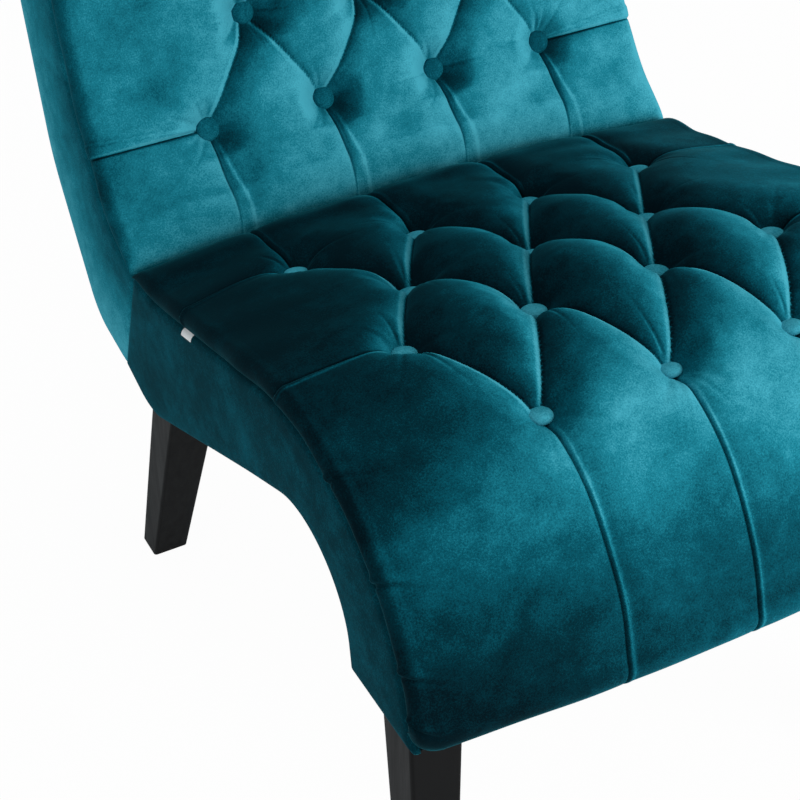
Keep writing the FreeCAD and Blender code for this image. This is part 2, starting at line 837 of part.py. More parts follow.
for end, leg, bolt_y, seat_height, foot_y in leg_sets:
    rail_top_height = seat_height + leg_rail_height
    pin = upright(glide_pin_radius, foot_x, foot_y, 0, glide_thickness + glide_pin_length)
    pin_hole = upright(
        glide_pin_radius + seam_gap, foot_x, foot_y, 0,
        glide_thickness + glide_pin_length + seam_gap
    )
    bolt_low = seat_height - leg_bolt_in_leg
    bolt_hole_in_leg = upright(
        leg_bolt_radius + bolt_clearance, leg_bolt_x, bolt_y, bolt_low - bolt_clearance, seat_height
    )
    leg = leg.cut(pin_hole).cut(bolt_hole_in_leg)
    bolt_in = upright(leg_bolt_radius, leg_bolt_x, bolt_y, bolt_low, rail_top_height - bolt_end_gap)
    glide = upright(glide_radius, foot_x, foot_y, 0, glide_thickness).fuse(pin).removeSplitter()
    barrel = upright(
        tee_nut_barrel_radius, leg_bolt_x, bolt_y, rail_top_height - tee_nut_barrel, rail_top_height
    )
    flange = upright(
        tee_nut_flange_radius, leg_bolt_x, bolt_y, rail_top_height, rail_top_height + tee_nut_flange
    )
    core = upright(
        leg_bolt_radius + thread_clearance, leg_bolt_x, bolt_y,
        rail_top_height - leg_rail_height, rail_top_height + leg_rail_height
    )
    tee_nut = barrel.fuse(flange).removeSplitter().cut(core)
    socket = upright(
        tee_nut_barrel_radius + bolt_clearance, leg_bolt_x, bolt_y,
        rail_top_height - tee_nut_barrel - bolt_clearance, rail_top_height
    )
    shank = upright(
        leg_bolt_radius + bolt_clearance, leg_bolt_x, bolt_y, seat_height, rail_top_height
    )
    for side_name, side_of in (("right", lambda shape: shape), ("left", mirrored)):
        nodes["%s_leg_%s" % (end, side_name)] = side_of(leg)
        leg_bolts.append(side_of(bolt_in))
        tee_nuts.append(side_of(tee_nut))
        glides.append(side_of(glide))
        if end == "front":
            front_leg_rail = front_leg_rail.cut(side_of(socket)).cut(side_of(shank))
        else:
            rear_leg_rail = rear_leg_rail.cut(side_of(socket)).cut(side_of(shank))
nodes["front_leg_rail"] = front_leg_rail
nodes["rear_leg_rail"] = rear_leg_rail
nodes["leg_bolts"] = Part.makeCompound(leg_bolts)
nodes["leg_tee_nuts"] = Part.makeCompound(tee_nuts)
nodes["floor_glides"] = Part.makeCompound(glides)

# Webbing, foam and the tufted pads.
seat_strap_end = crest_rail_along + strap_overhang
back_strap_end = back_track.before_corner(3)
nodes["seat_webbing"] = webbing(seat_track, 3, seat_strap_end)
nodes["back_webbing"] = webbing(back_track, 4, back_strap_end)
beyond = -half_width
seat_foam_outer = [seam_gap] * 3 + [seam_gap + dust_cover_thickness] * 4 + [seam_gap]
seat_foam_inner = [foam_thickness, foam_thickness, front_foam_thickness] + [beyond] * 5
back_foam_outer = [seam_gap] * 4 + [rear_cover_thickness + seam_gap] * 3 + [seam_gap]
back_foam_inner = [foam_thickness] * 4 + [-foam_cut_overrun] * 4
nodes["seat_foam"] = foam(
    seat_outline, right_of_travel, seat_foam_outer, seat_foam_inner, seat_track
)
nodes["back_foam"] = foam(
    back_outline, left_of_travel, back_foam_outer, back_foam_inner, back_track
)
seat_swell_end = seat_track.length - pad_swell_length
nodes["seat_tufted_pad"] = tufted_pad(seat_track, seat_track.length, seat_swell_end, pad_end_steps)
back_swell_end = back_track.after_corner(3)
nodes["back_tufted_pad"] = tufted_pad(back_track, back_pad_end, back_swell_end, pad_roll_steps)

# Buttons, twine and toggles.
toggle_top = -strap_depth + strap_thickness - seam_gap
twine_length = button_seat_height - toggle_top
twine = many_sided(cord_corners, ((twine_radius, 0), (twine_radius, twine_length)))
toggle = box_between(
    -toggle_length / 2, toggle_length / 2, -toggle_width / 2, toggle_width / 2,
    -toggle_thickness, 0
)
for name, track in (("seat", seat_track), ("back", back_track)):
    nodes[name + "_buttons"] = each_button(track, button_solid(), button_seat_height)
    nodes[name + "_twines"] = each_button(track, twine, toggle_top)
    nodes[name + "_twine_toggles"] = each_button(track, toggle, toggle_top)

# The outside back, the dust cover and the sewn-in tab.
edge_reach = back_edge_bend / math.tan(math.radians((back_lean + back_top_fall) / 2))
nodes["back_rear_cover"] = sweep(
    rear_track, edge_reach + pad_tail + seam_gap, rear_track.length,
    strip_section(-cover_inside, cover_inside, -rear_cover_thickness, 0.0)
)
dust_cover = sweep(
    under_track, 0.0, under_track.length - joint_face_gap,
    strip_section(-cover_inside, cover_inside, -dust_cover_thickness, 0.0)
)
for top_setback, foot_setback, seat_height in (
    (front_leg_top_setback, front_leg_foot_setback, front_leg_seat_height),
    (rear_leg_top_setback, rear_leg_foot_setback, rear_leg_seat_height),
):
    hole = leg_solid(top_setback, foot_setback, seat_height, 2 * leg_hole_clearance)
    dust_cover = dust_cover.cut(hole).cut(mirrored(hole))
nodes["dust_cover"] = dust_cover
tab_section = strip_section(
    -half_width - tab_thickness, -half_width, -tab_drop - tab_seam_drop, -tab_seam_drop
)
nodes["seam_tab"] = sweep(
    seat_track, tab_along - tab_width / 2, tab_along + tab_width / 2, tab_section
)

os.makedirs("parts", exist_ok=True)
for name in sorted(nodes):
    shape = nodes[name]
    shape.translate(FreeCAD.Vector(0, crease_setback, 0))
    shape.exportStep("parts/%s.step" % name)
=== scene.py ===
import bmesh
import bpy
import math
import numpy as np
from mathutils import Euler, Matrix, Vector


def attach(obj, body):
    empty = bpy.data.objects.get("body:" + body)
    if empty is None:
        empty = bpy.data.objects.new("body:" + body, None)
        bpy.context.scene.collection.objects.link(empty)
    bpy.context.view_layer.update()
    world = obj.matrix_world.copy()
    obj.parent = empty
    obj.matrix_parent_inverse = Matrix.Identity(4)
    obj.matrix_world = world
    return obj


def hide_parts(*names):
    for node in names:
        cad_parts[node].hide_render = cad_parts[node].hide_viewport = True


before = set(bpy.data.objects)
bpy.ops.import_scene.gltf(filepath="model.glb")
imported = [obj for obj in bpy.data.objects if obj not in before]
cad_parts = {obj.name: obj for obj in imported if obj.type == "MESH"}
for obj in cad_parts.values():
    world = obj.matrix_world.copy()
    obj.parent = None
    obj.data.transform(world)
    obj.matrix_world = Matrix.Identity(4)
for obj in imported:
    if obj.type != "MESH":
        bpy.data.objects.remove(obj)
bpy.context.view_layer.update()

# Studio
# The chair stands on a plain white paper floor in plain white air, under three soft lamps. The
# camera looks down from the chair's left front corner, close in, and cuts off the back's top.
look_down = 38.862
look_right = 28.236
camera_data = bpy.data.cameras.new("studio_camera")
camera_data.sensor_width = 36.0
camera_data.lens = 84.18
studio_camera = bpy.data.objects.new("studio_camera", camera_data)
bpy.context.scene.collection.objects.link(studio_camera)
studio_camera.location = (-0.6691, -1.1236, 1.2643)
studio_camera.rotation_euler = Euler((math.radians(90 - look_down), 0, math.radians(-look_right)))
bpy.context.scene.camera = studio_camera
bpy.context.scene.view_settings.view_transform = "Standard"


def linear(hex_colour):
    """A linear colour with full alpha from an sRGB hex value."""
    parts = [int(hex_colour[i:i + 2], 16) / 255 for i in (1, 3, 5)]
    return (*(c / 12.92 if c <= 0.04045 else ((c + 0.055) / 1.055) ** 2.4 for c in parts), 1.0)


def new_material(name):
    """A node material with no nodes yet."""
    material = bpy.data.materials.new(name)
    material.use_nodes = True
    material.node_tree.nodes.clear()
    return material


def add(owner, kind, inputs=(), links=(), **settings):
    """Adds a node to a material or the world, sets its values, links its inputs, returns it."""
    node = owner.node_tree.nodes.new("ShaderNode" + kind)
    for name, value in settings.items():
        setattr(node, name, value)
    for socket, value in dict(inputs).items():
        node.inputs[socket].default_value = value
    for socket, source in dict(links).items():
        owner.node_tree.links.new(source, node.inputs[socket])
    return node


# The floor lies half a millimetre under the glides.
bpy.ops.object.select_all(action="DESELECT")
bpy.ops.mesh.primitive_plane_add(size=1, location=(0, 0.4, -0.0005))
studio_floor = bpy.context.object
studio_floor.name = "studio_floor"
bpy.ops.object.mode_set(mode="EDIT")
bpy.ops.transform.resize(value=(7, 7.2, 1))
bpy.ops.object.mode_set(mode="OBJECT")
bpy.ops.object.transform_apply(location=True)
# Matt paper lights the chair from below as a pale grey. The camera sees it as white, with no more
# than a faint shadow.
paper = new_material("matt_studio_paper")
paper_grey = add(paper, "BsdfDiffuse", {"Color": linear("#e9eaec")})
paper_lit = add(paper, "BsdfDiffuse", {"Color": linear("#ffffff")})
paper_white = add(paper, "Emission", {"Color": linear("#ffffff"), "Strength": 1.0})
paper_seen = add(paper, "MixShader", {0: 0.97},
                 {1: paper_lit.outputs[0], 2: paper_white.outputs[0]})
paper_ray = add(paper, "LightPath")
paper_choice = add(paper, "MixShader", links={
    0: paper_ray.outputs["Is Camera Ray"], 1: paper_grey.outputs[0], 2: paper_seen.outputs[0]})
add(paper, "OutputMaterial", links={"Surface": paper_choice.outputs[0]})
studio_floor.data.materials.append(paper)

# The air lights the chair softly, and is white to the camera and in reflections.
world = bpy.data.worlds.new("studio_air")
bpy.context.scene.world = world
world.use_nodes = True
world.node_tree.nodes.clear()
air_light = add(world, "Background", {"Color": linear("#dfe8ea"), "Strength": 0.42})
air_white = add(world, "Background", {"Color": linear("#ffffff")})
air_ray = add(world, "LightPath")
air_seen = add(world, "Math", links={0: air_ray.outputs["Is Camera Ray"],
                                     1: air_ray.outputs["Is Glossy Ray"]}, operation="MAXIMUM")
air_choice = add(world, "MixShader", links={
    0: air_seen.outputs[0], 1: air_light.outputs[0], 2: air_white.outputs[0]})
add(world, "OutputWorld", links={"Surface": air_choice.outputs[0]})

# A large soft lamp stands at the front right, a second fills from the left, a third hangs overhead.
for lamp_name, place, aim, size, power in (
    ("front_right_softbox", (1.5, -2.3, 1.15), (0.0, -0.1, 0.4), 1.5, 62.0),
    ("left_fill_softbox", (-2.4, -0.9, 1.3), (0.0, 0.1, 0.35), 1.8, 20.0),
    ("overhead_softbox", (0.3, 0.5, 2.9), (0.0, 0.0, 0.4), 1.6, 14.0),
):
    lamp_data = bpy.data.lights.new(lamp_name, "AREA")
    lamp_data.size = size
    lamp_data.energy = power
    lamp = bpy.data.objects.new(lamp_name, lamp_data)
    lamp.location = place
    lamp.rotation_euler = (Vector(aim) - Vector(place)).to_track_quat("-Z", "Y").to_euler()
    bpy.context.scene.collection.objects.link(lamp)

# Plywood side frames and front panel
# Birch plywood cut to the chair's curve, 18 mm thick at the sides, glued and screwed to the rails.
# Its faces are pale with a fine grain, and its sawn edges show the darker lines of the plies.
plywood = new_material("birch_plywood")
ply_thickness = 0.0015
# A wave texture of scale 1 has its bands about this far apart.
wave_spacing = 20.0 / 62.8
# The sockets of a Mix node that blends two colours.
mix_factor, mix_from, mix_to, mix_out = 0, 6, 7, 2
ply_place = add(plywood, "TexCoord").outputs["Object"]
# The grain is about 8 mm wide and drawn out along the chair.
ply_stretch = add(plywood, "Mapping", {"Scale": (1.0, 0.15, 1.0)}, {"Vector": ply_place})
ply_grain = add(plywood, "TexNoise", {"Scale": 120.0, "Detail": 5.0, "Roughness": 0.6},
                {"Vector": ply_stretch.outputs[0]})
ply_face = add(plywood, "Mix", {mix_from: linear("#b98f5c"), mix_to: linear("#dcbf8e")},
               {mix_factor: ply_grain.outputs["Fac"]}, data_type="RGBA")
ply_layers = add(plywood, "TexWave", {"Scale": wave_spacing / ply_thickness, "Distortion": 0.3},
                 {"Vector": ply_place}, bands_direction="X")
ply_shade = add(plywood, "MapRange", {"To Max": 0.25}, {"Value": ply_layers.outputs["Fac"]})
ply_colour = add(plywood, "Mix", {mix_to: linear("#7d5a34")},
                 {mix_factor: ply_shade.outputs[0], mix_from: ply_face.outputs[mix_out]},
                 data_type="RGBA")
ply_shader = add(plywood, "BsdfPrincipled", {"Roughness": 0.75, "Specular IOR Level": 0.2},
                 {"Base Color": ply_colour.outputs[mix_out]})
add(plywood, "OutputMaterial", links={"Surface": ply_shader.outputs[0]})


def finish_nodes(material, *names):
    """Gives CAD nodes their real finish."""
    for name in names:
        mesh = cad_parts[name].data
        mesh.materials.clear()
        mesh.materials.append(material)


finish_nodes(plywood, "seat_side_frame_left", "seat_side_frame_right", "back_side_frame_left",
             "back_side_frame_right", "seat_front_panel")

# Rails and toggles
# Planed softwood across the chair, its grain running from side to side. The toggles that hold the
# button twines are offcuts of the same wood. It is matt and pale, with warmer growth lines.
softwood = new_material("planed_softwood")
wood_place = add(softwood, "TexCoord").outputs["Object"]
# The growth lines are about 7 mm apart.
wood_stretch = add(softwood, "Mapping", {"Scale": (0.08, 1.0, 1.0)}, {"Vector": wood_place})
wood_grain = add(softwood, "TexNoise", {"Scale": 150.0, "Detail": 6.0, "Roughness": 0.6},
                 {"Vector": wood_stretch.outputs[0]})
wood_colour = add(softwood, "Mix", {mix_from: linear("#b58a55"), mix_to: linear("#e0bf8d")},
                  {mix_factor: wood_grain.outputs["Fac"]}, data_type="RGBA")
wood_shader = add(softwood, "BsdfPrincipled", {"Roughness": 0.65, "Specular IOR Level": 0.25},
                  {"Base Color": wood_colour.outputs[mix_out]})
add(softwood, "OutputMaterial", links={"Surface": wood_shader.outputs[0]})
finish_nodes(softwood, "seat_crest_rail", "seat_rear_rail", "front_leg_rail", "rear_leg_rail",
             "back_bottom_rail", "back_lower_rail", "back_middle_rail", "back_top_rail",
             "seat_twine_toggles", "back_twine_toggles")

# Bolts, nuts and washers
# Bright zinc-plated steel: the bolts that hold the back on the seat, and the leg bolts with their
# tee nuts. The plating is bright, with a cloudy bloom in patches of about 4 mm.
zinc_steel = new_material("bright_zinc_plated_steel")
bloom_size = 0.004
steel_place = add(zinc_steel, "TexCoord").outputs["Object"]
steel_bloom = add(zinc_steel, "TexNoise", {"Scale": 1 / bloom_size, "Detail": 3.0},
                  {"Vector": steel_place})
steel_rough = add(zinc_steel, "MapRange",
                  {"From Min": 0.3, "From Max": 0.7, "To Min": 0.25, "To Max": 0.4},
                  {"Value": steel_bloom.outputs["Fac"]})
steel_shader = add(zinc_steel, "BsdfPrincipled",
                   {"Base Color": linear("#c9cccf"), "Metallic": 1.0},
                   {"Roughness": steel_rough.outputs[0]})
add(zinc_steel, "OutputMaterial", links={"Surface": steel_shader.outputs[0]})
finish_nodes(zinc_steel, "joint_bolts", "joint_nuts", "joint_washers", "leg_bolts", "leg_tee_nuts")

# Webbing and twine
# Jute straps stapled across and along the frames, and the waxed twine that holds the buttons
# down. The jute is dull and coarse, the twine paler and a little smoother.
jute = new_material("woven_jute_webbing")
yarn_spacing = 0.002
jute_place = add(jute, "TexCoord").outputs["Object"]
jute_weave = add(jute, "TexVoronoi", {"Scale": 1 / yarn_spacing, "Randomness": 0.35},
                 {"Vector": jute_place})
jute_shade = add(jute, "MapRange", {"From Max": 0.7}, {"Value": jute_weave.outputs["Distance"]})
jute_colour = add(jute, "Mix", {mix_from: linear("#a9946b"), mix_to: linear("#6c5a3a")},
                  {mix_factor: jute_shade.outputs[0]}, data_type="RGBA")
jute_shader = add(jute, "BsdfPrincipled", {"Roughness": 0.9, "Specular IOR Level": 0.1},
                  {"Base Color": jute_colour.outputs[mix_out]})
add(jute, "OutputMaterial", links={"Surface": jute_shader.outputs[0]})
finish_nodes(jute, "seat_webbing", "back_webbing")

twine = new_material("waxed_tufting_twine")
twine_place = add(twine, "TexCoord").outputs["Object"]
# The strands are about 0.8 mm wide.
twine_strands = add(twine, "TexNoise", {"Scale": 1200.0, "Detail": 2.0}, {"Vector": twine_place})
twine_colour = add(twine, "Mix", {mix_from: linear("#c3b898"), mix_to: linear("#e6dfc8")},
                   {mix_factor: twine_strands.outputs["Fac"]}, data_type="RGBA")
twine_shader = add(twine, "BsdfPrincipled", {"Roughness": 0.6, "Specular IOR Level": 0.3},
                   {"Base Color": twine_colour.outputs[mix_out]})
add(twine, "OutputMaterial", links={"Surface": twine_shader.outputs[0]})
finish_nodes(twine, "seat_twines", "back_twines")

# Velvet
# Cut pile on a woven ground, dyed teal, and brushing leaves soft cloudy patches. Light and shade
# are
# painted into its colour: each piece carries a value of painted light, from 0 for painted shade
# near black to 1 for a painted highlight, standing in for how the lamps and the pile's sheen light
# it.
velvet = new_material("teal_cut_pile_velvet")
velvet_place = add(velvet, "TexCoord").outputs["Object"]
# Brushing leaves clouds about 90 mm across and streaks about 17 mm across. The tufts of the pile
# are too fine to show, so they are drawn about 1.2 mm apart.
nap_cloud = add(velvet, "TexNoise",
                {"Scale": 11.0, "Detail": 5.0, "Roughness": 0.65, "Distortion": 0.8},
                {"Vector": velvet_place})
nap_streak = add(velvet, "TexNoise", {"Scale": 60.0, "Detail": 4.0, "Roughness": 0.65},
                 {"Vector": velvet_place})
pile = add(velvet, "TexNoise", {"Scale": 800.0, "Detail": 2.0, "Roughness": 0.7},
           {"Vector": velvet_place})
# The painted light and shade of each point, with the brushing's clouds, streaks and tufts added.
nap_and_painted_light = add(velvet, "Attribute", attribute_name="nap_and_painted_light").outputs["Fac"]
for noise, swing in ((nap_cloud, 0.10), (nap_streak, 0.07), (pile, 0.11)):
    swung = add(velvet, "MapRange",
                {"From Min": 0.3, "From Max": 0.7, "To Min": -swing, "To Max": swing},
                {"Value": noise.outputs["Fac"]})
    nap_and_painted_light = add(velvet, "Math", links={0: nap_and_painted_light, 1: swung.outputs[0]}, operation="ADD").outputs[0]
# The ramp turns painted shade into near-black teal and a painted highlight into bright teal.
velvet_ramp = add(velvet, "ValToRGB", links={"Fac": nap_and_painted_light})
velvet_ramp.color_ramp.elements[0].color = linear("#00131a")
velvet_ramp.color_ramp.elements[1].color = linear("#45a6b9")
for position, colour in ((0.25, "#002d37"), (0.5, "#055160"), (0.75, "#1a7c8e")):
    velvet_ramp.color_ramp.elements.new(position).color = linear(colour)
pile_bump = add(velvet, "Bump", {"Strength": 0.3, "Distance": 0.0005},
                {"Height": pile.outputs["Fac"]})
velvet_shader = add(
    velvet, "BsdfPrincipled",
    {"Roughness": 0.85, "Specular IOR Level": 0.03, "Sheen Weight": 0.3, "Sheen Roughness": 0.28,
     "Sheen Tint": linear("#2fb4c8")},
    {"Base Color": velvet_ramp.outputs["Color"], "Normal": pile_bump.outputs["Normal"]})
add(velvet, "OutputMaterial", links={"Surface": velvet_shader.outputs[0]})


def lay_painted_light(piece, values):
    """Writes the painted light and shade on every point of a velvet piece."""
    held = piece.data.attributes.new("nap_and_painted_light", "FLOAT", "POINT")
    spread = np.broadcast_to(values, len(piece.data.vertices))
    held.data.foreach_set("value", spread.astype(np.float32))


# Tufted seat and back
# Each pad is foam under one velvet cover that is pulled down by its buttons, so that the cloth
# folds into pleats from button to button and the foam swells into diamonds between them.
def side_line(corners):
    """A tape along rounded side-view corners (y, z, bend): distance, y, z and heading at marks."""
    spots = [np.array(corner[:2]) for corner in corners]
    heading = [math.atan2(b[1] - a[1], b[0] - a[0]) for a, b in zip(spots, spots[1:])]
    marks = [(*spots[0], heading[0])]
    for i in range(1, len(heading)):
        turn = (heading[i] - heading[i - 1] + math.pi) % (2 * math.pi) - math.pi
        bend = math.copysign(corners[i][2], turn)
        reach = bend * math.tan(turn / 2)
        begin = spots[i] - reach * np.array((math.cos(heading[i - 1]), math.sin(heading[i - 1])))
        for part in np.linspace(0, 1, 30):
            now = heading[i - 1] + part * turn
            marks.append((
                begin[0] + bend * (math.sin(now) - math.sin(heading[i - 1])),
                begin[1] - bend * (math.cos(now) - math.cos(heading[i - 1])),
                now,
            ))
        heading[i] = heading[i - 1] + turn
    marks.append((*spots[-1], heading[-1]))
    y, z, now = np.array(marks).T
    along = np.concatenate([[0.0], np.cumsum(np.hypot(np.diff(y), np.diff(z)))])
    return along, y, z, now


def on_line(line, outward, along, across, height):
    """Points that stand a height above a side line, at distances along it and across the chair."""
    marks, y, z, heading = line
    now = np.interp(along, marks, heading)
    return np.stack([
        across + 0 * now,
        np.interp(along, marks, y) - outward * height * np.sin(now),
        np.interp(along, marks, z) + outward * height * np.cos(now),
    ], axis=-1)


def stepped(corner, slope, length, bend=0.0):
    """The next corner, a length away along a slope in degrees."""
    angle = math.radians(slope)
    return (corner[0] + length * math.cos(angle), corner[1] + length * math.sin(angle), bend)


def stepped_to(corner, slope, height, bend=0.0):
    """The next corner, where a slope reaches a height."""
    return stepped(corner, slope, (height - corner[1]) / math.sin(math.radians(slope)), bend)


# The side view starts where seat and back meet, at the crease. The seat runs forward from there
# over its nose to the front lip, and the back runs up, over its rolled top and down the rear.
half_width = 0.265
crease = (0.0977, 0.373, 0.0)
seat_bend = stepped(crease, 180.0, 0.048, 0.150)
seat_nose = stepped(seat_bend, 180.0 - 15.8, 0.385, 0.174)
lip_front = stepped_to(seat_nose, 180.0 + 72.0, 0.274, 0.010)
back_foot = stepped(crease, 12.0, 0.048, 0.110)
back_hollow = stepped(back_foot, 58.0, 0.124, 0.330)
back_top_front = stepped_to(back_hollow, 76.0, 0.812, 0.060)
back_thickness = 0.098
back_top_rear = stepped(back_top_front, -8.0, back_thickness / math.sin(math.radians(84.0)), 0.030)
rear_corner = stepped_to(back_top_rear, 76.0, 0.385, 0.150)
seat_line = side_line([crease, seat_bend, seat_nose, lip_front])
back_line = side_line([crease, back_foot, back_hollow, back_top_front, back_top_rear, rear_corner])
left_of_travel = 1
right_of_travel = -1

button_spacing = 0.1084
row_spacing = 0.092
first_row = 0.111
row_counts = (4, 3, 4, 3)


def button_rows():
    """The buttons' places as rows of (along, across), staggered from row to row."""
    return [[(first_row + number * row_spacing, (i - (count - 1) / 2) * button_spacing)
             for i in range(count)] for number, count in enumerate(row_counts)]


def falling(share, fullness):
    """From 1 at a pleat to 0 at the middle of a diamond, as round as stuffed cloth."""
    return 1 - np.clip(1 - np.clip(1 - share, 0, 1) ** 2, 0, 1) ** fullness


def pleat_list(rows, end):
    """Pleats as (start, finish, kind): between buttons, and from outer buttons to the seams."""
    pleats = []
    for near, far in zip(rows[:-1], rows[1:]):
        for start in near:
            for finish in far:
                if abs(start[1] - finish[1]) < button_spacing:
                    pleats.append((start, finish, "diagonal"))
    pleats += [(place, (0.0, place[1]), "straight") for place in rows[0]]
    pleats += [(place, (end, place[1]), "straight") for place in rows[-1]]
    for row in rows:
        if len(row) == max(row_counts):
            pleats.append((row[0], (row[0][0], -half_width), "side"))
            pleats.append((row[-1], (row[-1][0], half_width), "side"))
    return pleats


# Each pleat is a round valley that fades sooner past its ends than beside it. Those that run to
# the seams have a narrow groove, and the button's pull fades along them.
pleat_fullness = 0.44
dimple_fullness = 0.8
past_ends = 2.5
pull_fade = 0.024
groove_depth = 0.0013
groove_width = 0.0011
crisp_edges = {"diagonal": 0.0007, "straight": 0.0003, "side": 0.0003}
soft_edge = 0.0009
flap_growth = 0.01
creases_per_button = 10
crease_lengths = (0.016, 0.036)
crease_depth = 0.0010
crease_width = 0.0017
crease_begin = 0.009
crease_growth = 0.006
lump_waves = 8
lump_pitch = 50
lump_height = 0.0003


def tufting(along, across, end, floors, crowns, shares, reaches, flap, bands, seed):
    """How far the cloth is pulled down, the height of its small folds, and the painted highlights
    and painted shade along them.

    For each kind of pleat, shares says how deep it stays away from its buttons, reaches how far
    its valley spreads, and bands how wide its folded cloth is at the start and gains to the end.
    """
    rows = button_rows()
    chance = np.random.default_rng(seed)
    row_marks = [row[0][0] for row in rows]
    deepest = np.maximum(crowns(across) - np.interp(along, row_marks, floors), 0.0)
    swollen = np.ones_like(along)
    folds = np.zeros_like(along)
    painted_shine = np.zeros_like(along)
    for start, finish, kind in pleat_list(rows, end):
        way = np.array(finish) - np.array(start)
        length = np.hypot(*way)
        off_along = along - start[0]
        off_across = across - start[1]
        run = (off_along * way[0] + off_across * way[1]) / length ** 2
        part = np.clip(run, 0, 1)
        beside = (off_along * way[1] - off_across * way[0]) / length
        off = np.hypot(beside, past_ends * (run - part) * length)
        if kind == "diagonal":
            pull = shares[kind] + (1 - shares[kind]) * np.abs(2 * part - 1) ** 3
            signed = off * np.sign(beside)
        else:
            pull = shares[kind] + (1 - shares[kind]) * np.exp(-part * length / pull_fade)
            signed = off * np.sign(off_along if kind == "side" else off_across)
            folds -= groove_depth * np.exp(-(off / groove_width) ** 2)
        swollen *= 1 - pull * falling(off / reaches[kind], pleat_fullness)
        # The spare cloth is folded under in a flat band with one crisp and one soft edge. It
        # starts 6 mm from the button's middle and is full 10 mm further on.
        present = np.clip(part * length / flap_growth - 0.6, 0, 1)
        crisp_edge = crisp_edges[kind]
        band = bands[kind][0] + bands[kind][1] * part
        rising = 1 / (1 + np.exp(-np.clip(signed / crisp_edge, -30, 30)))
        ending = 1 / (1 + np.exp(-np.clip((signed - band) / soft_edge, -30, 30)))
        folds += flap * rising * (1 - ending) * present
        # Painted highlights lie on both edges of the band, and painted shade in the fold.
        for strength, place, width in ((0.24, 2.2 * crisp_edge, 0.0013), (-0.30, -0.0006, 0.0010),
                                       (0.20, band, 0.0012)):
            painted_shine += strength * present * np.exp(-((signed - place) / width) ** 2)
    for row in rows:
        for place in row:
            off_along = along - place[0]
            off_across = across - place[1]
            off = np.hypot(off_along, off_across)
            swollen *= 1 - falling(off / reaches["dimple"], dimple_fullness)
            # Fine creases fan out from every button where the cloth is drawn in.
            around = np.arctan2(off_across, off_along)
            window = np.clip((off - crease_begin) / crease_growth, 0, 1)
            for _ in range(creases_per_button):
                aim = chance.uniform(-math.pi, math.pi)
                fade = np.exp(-(off / chance.uniform(*crease_lengths)) ** 2)
                turned = (around - aim + math.pi) % (2 * math.pi) - math.pi
                folds -= crease_depth * window * fade * np.exp(-(turned * off / crease_width) ** 2)
    # The stuffing is never quite even under the cloth.
    for _ in range(lump_waves):
        wave = chance.normal(0, lump_pitch, 2)
        folds += lump_height * np.sin(along * wave[0] + across * wave[1] + chance.uniform(0, 6.3))
    return deepest * (1 - swollen), folds, painted_shine


def marks_between(low, high, spacing, fine_spots):
    """Even marks, with closer ones from 2.5 mm before to 4 mm after each spot of a crisp fold."""
    near = [spot + step for spot in fine_spots for step in np.arange(-0.0025, 0.0045, 0.0005)]
    marks = np.sort(np.concatenate([np.arange(low, high, spacing), near]))
    marks = marks[(marks >= low) & (marks < high)]
    least_gap = 0.0003
    return marks[np.concatenate([[True], np.diff(marks) > least_gap])]


def crown_of(edge_height, crown_height):
    """A function for a pad's untufted height across the chair."""
    edge_width = 0.010
    squareness = 2.2

    def height(across):
        share = np.minimum(np.abs(across) / (half_width - edge_width), 1.0)
        return edge_height + (crown_height - edge_height) * (1 - share ** squareness)
    return height


def half_section(edge_height, spacing):
    """Where the cloth runs from the side seam over the rounded edge to the middle, seam first."""
    overhang = 0.001
    gap_at_middle = 0.0004
    gap_at_edge = 0.0008
    edge = edge_height / 2
    turn = np.linspace(math.radians(-75), math.radians(80), 16)
    edge_across = half_width + overhang - edge + edge * np.cos(turn)
    edge_share = (1 + np.sin(turn)) / 2
    folds = [abs(place[1]) for row in button_rows() for place in row]
    middle = marks_between(gap_at_middle, half_width - edge - gap_at_edge, spacing, folds)[::-1]
    return (np.concatenate([edge_across, middle, [0.0]]),
            np.concatenate([edge_share, np.ones(len(middle) + 1)]),
            np.concatenate([turn, np.full(len(middle) + 1, math.radians(90))]))


def new_piece(name, points, faces):
    """A piece of points and faces, without loose points, its faces outwards and smooth."""
    mesh = bpy.data.meshes.new(name)
    mesh.from_pydata(points.reshape(-1, 3).tolist(), [], faces)
    shell = bmesh.new()
    shell.from_mesh(mesh)
    loose = [point for point in shell.verts if not point.link_faces]
    bmesh.ops.delete(shell, geom=loose, context="VERTS")
    bmesh.ops.recalc_face_normals(shell, faces=shell.faces)
    shell.to_mesh(mesh)
    shell.free()
    mesh.polygons.foreach_set("use_smooth", [True] * len(mesh.polygons))
    mesh.update()
    piece = bpy.data.objects.new(name, mesh)
    bpy.context.scene.collection.objects.link(piece)
    return piece


def grid_faces(index):
    """The four corners of every cell of a grid of point numbers."""
    return np.stack([index[:-1, :-1], index[:-1, 1:], index[1:, 1:], index[1:, :-1]], -1)


# A pad's ends round down in these steps. Its cloth stays this far over the base, is drawn in at the
# sides by so much at most, and rounds the far corners over the last stretch.
end_steps = 18
least_height = 0.0015
most_drawn = 0.012
corner_run = 0.06


